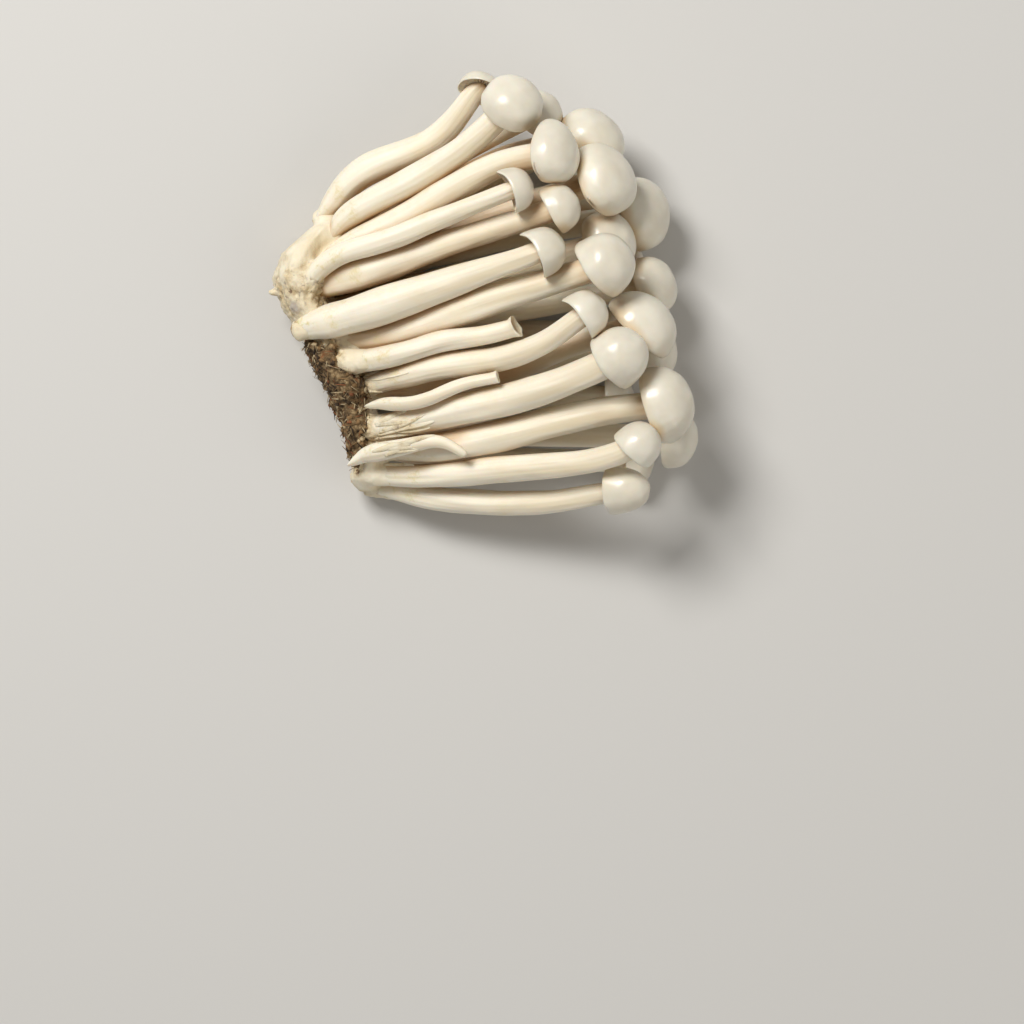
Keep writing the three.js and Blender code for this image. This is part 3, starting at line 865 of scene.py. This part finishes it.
def add_gills(bm, count, turned, inner, neck, thickness):
    """Adds a full circle of blades. A blade is thick at the roof and fine at its free edge."""
    low, high = blade(GILL_START, inner, neck)
    rows = []
    for line, half in ((low, 0.35), (high, 0.5)):
        for side in (-1, 1):
            rows.append([bm.verts.new((x, side * half * thickness, z)) for x, z in line])
    left_low, right_low, left_high, right_high = rows
    faces = []
    ring = (left_low, left_high, right_high, right_low)
    for i in range(len(low) - 1):
        for a, b in zip(ring, ring[1:] + ring[:1]):
            faces.append(bm.faces.new((a[i], a[i + 1], b[i + 1], b[i])))
    for i, order in ((0, 1), (len(low) - 1, -1)):
        faces.append(bm.faces.new((left_low[i], right_low[i], right_high[i], left_high[i])[::order]))
    for face in faces:
        face.material_index = 1
    verts = [vert for row in rows for vert in row]
    bmesh.ops.rotate(bm, verts=verts, cent=(0, 0, 0), matrix=Matrix.Rotation(turned, 3, "Z"))
    step = 2 * math.pi / count
    bmesh.ops.spin(bm, geom=verts + faces, cent=(0, 0, 0), axis=(0, 0, 1), steps=count - 1,
                   angle=step * (count - 1), use_duplicate=True)


def dome_reach(rise):
    """A little less than the dome's reach at a height. What is further in belongs to the underside."""
    return max(0, 1 - min(max(rise, 0), 1) ** DOME_POWER) ** (1 / DOME_POWER) - 0.02


def cap_mesh(cap, seed, neck):
    """The cap as a fine mesh. neck is the share of its reach that the stem takes."""
    ratio = cap.height / cap.reach
    bm = spun([(x, z * ratio if above else z) for x, z, above in dome_profile(neck)], LINES)
    skin = list(bm.verts)
    dome = {vert for vert in skin if vert.co.z > -1e-4 and vert.co.xy.length > dome_reach(vert.co.z / ratio)}
    for face in bm.faces:
        middle = face.calc_center_median()
        below = middle.z > LOWEST_GILL and middle.xy.length < GILL_START and face.normal.z < 0
        face.material_index = 1 if below else 0
    thickness = GILL_THICKNESS / cap.reach
    add_gills(bm, LONG_GILLS, 0, neck * 0.9, neck, thickness)
    add_gills(bm, LONG_GILLS, math.pi / LONG_GILLS, SHORT_GILL, neck, thickness)
    offset = Vector((seed * 5.3, 2.9, seed * 1.7))
    table = dome_table(cap)
    inside = cap.seat + cap.axis * 0.5 * cap.height
    hood = HOODS.get(cap.node, SLIGHT_HOOD)
    flat_side = UP.cross(cap.axis).normalized()
    levels = [-rise for _, rise in DOME]
    covered = set(skin)
    free = []
    for vert in bm.verts:
        co = vert.co.copy()
        around = Vector((co.x, co.y, 0)).normalized() if co.xy.length > 1e-6 else Vector()
        share = min(co.xy.length, 1)
        line = math.atan2(co.y, co.x) / (2 * math.pi) * LINES
        column = np.take(table, range(int(line // 1), int(line // 1) + 2), axis=1, mode="wrap")
        column = column[:, 0] * (1 - line % 1) + column[:, 1] * (line % 1)
        spot = cap.wide * co.x * cap.reach + cap.narrow * co.y * cap.short_reach
        if vert in dome:
            stretch = float(np.interp(-co.z / ratio, levels, column))
            place = inside + (cap.seat + spot + cap.axis * co.z * cap.reach - inside) * stretch
        else:
            place = cap.seat + spot * (1 + (column[-1] - 1) * share) + cap.axis * co.z * cap.reach
        rim = 1 + WAVY_RIM * noise.noise(around * 1.6 + offset) * share ** 2
        soft = 1 + SOFT_DOME * noise.noise(co * 1.9 + offset)
        place = cap.seat + (place - cap.seat) * rim * soft
        outward = (cap.wide * around.x + cap.narrow * around.y).dot(flat_side)
        drop = hood * max(0, outward) ** 3 + FAR_HOOD * hood * max(0, -outward) ** 3
        drop *= share ** 3 * max(0, 1 - max(co.z, 0) / (HOOD_HEIGHT * ratio)) ** 1.5
        lip = HOOD_LIP * drop * (1 - share) / (1 - RIM[-1][0]) if share < 1 and vert not in dome else 0
        down = cap.axis * (drop + min(lip, 0.5 * drop))
        vert.co = place - (down + flat_side * outward * HOOD_OUT * drop) * cap.reach
        if (drop < PRESSED_HOOD or hood == SLIGHT_HOOD) and vert in covered:
            free.append(vert)
    press_in(free, cap.tree)
    lay_flat(bm)
    bm.normal_update()
    mark_painted_shade(bm, skin)
    return bm


def press_in(verts, tree):
    """Moves back what stands more than a little out of the model's shape, where a neighbour presses."""
    for vert in verts:
        spot, normal, _, distance = tree.find_nearest(vert.co)
        if distance > PRESS and (vert.co - spot).dot(normal) > 0:
            vert.co = spot + (vert.co - spot) * (PRESS / distance)


for seed, (node, cap) in enumerate(caps.items()):
    stem = stems[node.replace("cap", "stem")]
    neck = NECK_ROOM * stem.girth[-6].mean() / cap.reach
    placed(cap_mesh(cap, seed, neck), "fine_" + node, [cap_skin, gill_flesh], [node])
print("gills in each cap:", 2 * LONG_GILLS)

# %% [markdown]
# ## The butt
# The stems of a cluster don't stand on the butt, they grow out of it. So short stubs of all rooted stems
# are added to the lump and the whole is remeshed into one skin. Smoothing then draws the tissue up round
# every stem.

# %% Build the butt
STUB = 9 * MM
STUB_FLARE, STUB_TAPER = 1.26, 0.42
VOXEL = 0.40 * MM
SMOOTHING = 6
CRUMBS_AT = Vector((-42.0, 0.5, 17.0)) * MM
CRUMBS_REACH = 10.5 * MM
NUB_AT = Vector((-48.6, 0.8, 13.2)) * MM
NUB = 1.3 * MM
NUB_SHAPE = (1.7, 0.8, 0.8)
FILLINGS = [((-37.4, 13.2, 17.4), 3.4), ((-36.4, 16.6, 13.2), 3.6)]
CRUMB = 1.5 * MM
BESIDE_STRIP = 2.2 * MM
LOW, LOW_FADE = 9 * MM, 5 * MM
BROAD_LUMP, SMALL_LUMP, PATCHES = 2.6 * MM, 1.1 * MM, 3 * MM


def stub_mesh(bm, stem):
    """Adds the first stretch of a stem, flared at the root and slimmer than the stem at its end."""
    stub = spindle(12, 16, 0.05)
    low, high = -stem.deep / stem.length, STUB / stem.length
    shares = sorted({round(vert.co.z, 6) for vert in stub.verts})
    table = dict(zip(shares, stem.frames([low + (high - low) * share for share in shares])))
    radius = stem.girth[:8].mean()
    for vert in stub.verts:
        share = round(vert.co.z, 6)
        middle, _, side, other = table[share]
        flare = STUB_FLARE - STUB_TAPER * share
        vert.co = middle + (side * vert.co.x + other * vert.co.y) * radius * flare
    scrap = mesh_of(stub, "stub")
    bm.from_mesh(scrap)
    bpy.data.meshes.remove(scrap)


def remeshed(bm, voxel):
    """The mesh as one skin of small even faces."""
    mesh = mesh_of(bm, "lump")
    lump = in_scene("lump", mesh)
    modifier = lump.modifiers.new("remesh", "REMESH")
    modifier.mode = "VOXEL"
    modifier.voxel_size = voxel
    modifier.adaptivity = 0
    evaluated = lump.evaluated_get(bpy.context.evaluated_depsgraph_get())
    skin = bmesh.new()
    skin.from_mesh(evaluated.to_mesh())
    bpy.data.objects.remove(lump)
    bpy.data.meshes.remove(mesh)
    return skin


def smoothed(bm, times):
    for _ in range(times):
        bmesh.ops.smooth_vert(bm, verts=bm.verts, factor=0.5, use_axis_x=True, use_axis_y=True,
                              use_axis_z=True)
    bm.normal_update()


def roughened(bm, height):
    """Moves each point along its normal, as far in millimetres as the function says."""
    moves = [vert.normal * MM * height(vert) for vert in bm.verts]
    for vert, move in zip(bm.verts, moves):
        vert.co += move


butt = merged("butt")
for stem in stems.values():
    if stem.rooted:
        stub_mesh(butt, stem)
nub = bmesh.ops.create_icosphere(butt, subdivisions=2, radius=NUB)["verts"]
bmesh.ops.scale(butt, vec=NUB_SHAPE, verts=nub)
bmesh.ops.translate(butt, vec=NUB_AT, verts=nub)
for place, radius in FILLINGS:
    filling = bmesh.ops.create_icosphere(butt, subdivisions=2, radius=radius * MM)["verts"]
    bmesh.ops.translate(butt, vec=Vector(place) * MM, verts=filling)
butt = remeshed(butt, VOXEL)
smoothed(butt, SMOOTHING)
crumbly = butt.verts.layers.float.new(CRUMBLY)
strip_tree = BVHTree.FromBMesh(merged("growing_block_strip"))
for vert in butt.verts:
    patch = 1.5 * (1 - (vert.co - CRUMBS_AT).length / CRUMBS_REACH)
    to_strip = strip_tree.find_nearest(vert.co)[3]
    beside = 1 - to_strip / BESIDE_STRIP
    low = (LOW - vert.co.z) / LOW_FADE - 0.4 - vert.normal.x
    share = max(patch, beside, min(low, 1)) + 0.7 * noise.noise(vert.co / PATCHES)
    vert[crumbly] = min(max(share, 0), 1)


def butt_height(vert):
    """Faint lumps all over, and on crumbly places stronger ones with rounded crumbs."""
    lumps = 0.35 * noise.noise(vert.co / BROAD_LUMP) + 0.30 * noise.noise(vert.co / SMALL_LUMP)
    crumb = 0.45 - noise.voronoi(vert.co / CRUMB)[0][0]
    return 0.30 * lumps + vert[crumbly] * (0.6 * lumps + 1.1 * crumb)


roughened(butt, butt_height)
lay_flat(butt)
print("butt:", len(butt.faces), "faces")
placed(butt, "fine_butt", [butt_tissue], ["butt"])

# %% [markdown]
# ## The strip of growing block
# The remains of the block are packed sawdust: a rough lump, from which fibres and chips stand out every
# way. The lump is remeshed and roughened with noise. Hundreds of short fibres and chips are then scattered
# on it by chance, from a seeded draw, so that every run gives the same strip.

# %% Build the strip
STRIP_VOXEL = 0.38 * MM
STRIP_SMOOTHING = 4
CLUMP, STRIP_LUMP, STRIP_GRAIN = 2.6 * MM, 2.4 * MM, 0.9 * MM
FIBRES = 620
FIBRE_TONE_DRAW = (0, 0, 1, 1, 1, 2, 2, 3)
CHIPS = 420
CHIP_TONE_DRAW = (0, 1, 1, 1, 2, 3)
draw = random.Random(11)


def strip_height(vert):
    """Lumps with a rough grain, and clumps with deep joints between them."""
    lumps = noise.noise(vert.co / STRIP_LUMP) + 0.5 * noise.noise(vert.co / STRIP_GRAIN)
    clump = 0.5 - noise.voronoi(vert.co / CLUMP)[0][0]
    return 0.6 * lumps + 1.7 * clump - 0.1


strip = remeshed(merged("growing_block_strip"), STRIP_VOXEL)
smoothed(strip, STRIP_SMOOTHING)
roughened(strip, strip_height)
lay_flat(strip)
print("strip:", len(strip.faces), "faces")


def surface_spots(bm, count):
    """Places on the mesh drawn by chance, the same number to every equal area, each with its normal."""
    faces = list(bm.faces)
    sizes = np.cumsum([face.calc_area() for face in faces])
    spots = []
    for _ in range(count):
        face = faces[int(np.searchsorted(sizes, draw.random() * sizes[-1]))]
        spots.append((face.calc_center_median(), face.normal.copy()))
    return spots


def chance_way():
    return Vector((draw.gauss(0, 1), draw.gauss(0, 1), draw.gauss(0, 1))).normalized()


def set_down(bm, verts, way, spot, tones):
    """Turns new points from upright to a direction, moves them to a spot and draws one of the tones."""
    turn = UP.rotation_difference(way).to_matrix()
    bmesh.ops.transform(bm, matrix=turn.to_4x4(), verts=verts)
    bmesh.ops.translate(bm, vec=spot, verts=verts)
    tone = draw.choice(tones)
    for face in {face for vert in verts for face in vert.link_faces}:
        face.material_index = tone


scatter = bmesh.new()
for spot, normal in surface_spots(strip, FIBRES):
    length = draw.uniform(0.8, 3.6) * MM
    thickness = draw.uniform(0.07, 0.22) * MM
    made = bmesh.ops.create_cone(scatter, segments=5, radius1=thickness, radius2=0.4 * thickness,
                                 depth=length, cap_ends=True)
    chance = chance_way()
    flat = (chance - normal * chance.dot(normal)).normalized()
    way = (flat + normal * draw.uniform(-0.05, 0.55)).normalized()
    start = spot + way * length * 0.20 + normal * 0.15 * MM
    set_down(scatter, made["verts"], way, start, FIBRE_TONE_DRAW)
for spot, normal in surface_spots(strip, CHIPS):
    made = bmesh.ops.create_icosphere(scatter, subdivisions=1, radius=draw.uniform(0.25, 0.85) * MM)
    for vert in made["verts"]:
        vert.co *= draw.uniform(0.7, 1.25)
        vert.co.z *= 0.55
    way = (normal + 0.6 * chance_way()).normalized()
    set_down(scatter, made["verts"], way, spot, CHIP_TONE_DRAW)
lay_flat(scatter)
print("fibres and chips:", len(scatter.faces), "faces")
placed(strip, "fine_growing_block", [growing_block], ["growing_block_strip"])
placed(scatter, "block_fibres", fibre_materials, ["growing_block_strip"])

# %% [markdown]
# ## Torn strands
# Between the growing block and the first stems lie thin strands of tissue that tore when the cluster was
# pulled apart. Each one follows the surface below it: rays from above find the height of what it lies on.
# In the model they are part of the butt, so this piece stands for that node too.

# %% Lay the strands
STRANDS = 26
STRAND_STEPS = 14
STRAND_FROM = ((-30.0, -19.0), (-24.0, -41.0))
LIE = 0.08 * MM
ABOVE = 60 * MM
STEEP = 1.6 * MM
STRAND_SIDES = 8
TORN_TIP = 0.15

below = bmesh.new()
for piece in list(bpy.data.objects):
    if piece.name.startswith(("fine_stem", "fine_stunted", "fine_broken", "fine_butt", "fine_growing")):
        below.from_mesh(piece.data)
below_tree = BVHTree.FromBMesh(below)
below.free()


def surface_below(x, y):
    """The highest point at that place, or none."""
    return below_tree.ray_cast(Vector((x, y, ABOVE)), -UP)[0]


def strand_line(x, y, turn, length):
    """Points along a strand that lies on what is below it. It stops where the surface falls away."""
    points = []
    for _ in range(STRAND_STEPS):
        spot = surface_below(x, y)
        if not spot or (points and abs(spot.z - points[-1].z) > STEEP):
            break
        points.append(spot + UP * LIE)
        turn += draw.gauss(0, 0.05)
        x += math.cos(turn) * length / STRAND_STEPS
        y += math.sin(turn) * length / STRAND_STEPS
    return points


def add_ribbon(bm, points, width, thickness):
    """A flat strand along the points, pointed at both ends."""
    rings = []
    for index, point in enumerate(points):
        ahead = points[min(index + 1, len(points) - 1)] - points[max(index - 1, 0)]
        across = ahead.cross(UP).normalized()
        up = across.cross(ahead).normalized()
        fullness = math.sin(math.pi * (index + 0.6) / (len(points) + 0.2)) ** 0.7
        taper = TORN_TIP + (1 - TORN_TIP) * fullness
        turns = np.arange(STRAND_SIDES) * 2 * math.pi / STRAND_SIDES
        ring = [point + (across * math.cos(turn) * width + up * math.sin(turn) * thickness) * taper
                for turn in turns]
        rings.append([bm.verts.new(corner) for corner in ring])
    for first, second in zip(rings, rings[1:]):
        for side in range(STRAND_SIDES):
            after = (side + 1) % STRAND_SIDES
            bm.faces.new((first[side], first[after], second[after], second[side]))
    bm.faces.new(rings[0][::-1])
    bm.faces.new(rings[-1])


strands = bmesh.new()
(west, north), (east, south) = STRAND_FROM
for _ in range(STRANDS):
    place = draw.random()
    x = (west + (east - west) * place + draw.gauss(1.6, 1.4)) * MM
    y = (north + (south - north) * place) * MM
    points = strand_line(x, y, math.radians(draw.gauss(11, 6)), draw.uniform(6, 15) * MM)
    if len(points) > 4:
        add_ribbon(strands, points, draw.uniform(0.25, 0.75) * MM, draw.uniform(0.18, 0.36) * MM)
bmesh.ops.recalc_face_normals(strands, faces=strands.faces)
rough = strands.verts.layers.float.new(CRUMBLY)
for vert in strands.verts:
    vert[rough] = min(max(1.2 * noise.noise(vert.co / PATCHES) + 0.2, 0), 0.7)
print("strands:", len(strands.faces), "faces")
placed(strands, "torn_strands", [butt_tissue], ["butt"])
